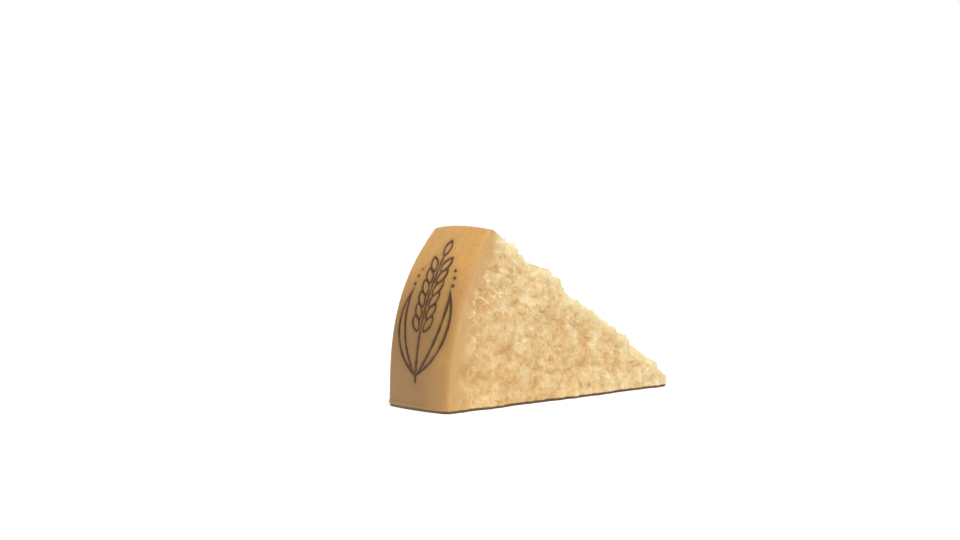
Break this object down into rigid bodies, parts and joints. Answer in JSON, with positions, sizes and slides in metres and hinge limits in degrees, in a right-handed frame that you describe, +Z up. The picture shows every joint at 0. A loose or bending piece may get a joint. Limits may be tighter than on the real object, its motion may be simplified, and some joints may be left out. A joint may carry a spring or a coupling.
{
  "type": "hard cheese wedge",
  "caption": "Wedge of long-aged hard cheese with a smooth barrel-shaped rind and rough broken faces, standing on its flat side.",
  "frame": {"origin": "centre of the bounding box, at the level of the flat foot", "axes": "+X from the rind to the tip, +Z up; the broken face that the picture shows looks towards -Y"},
  "size_m": [0.3388, 0.0834, 0.1845],
  "materials": {
    "cheese": "matt, granular and straw yellow where it is broken, smooth, waxy and golden brown on the rind"
  },
  "bodies": {
    "root": {"cheese_wedge": "cheese"}
  },
  "joints": []
}
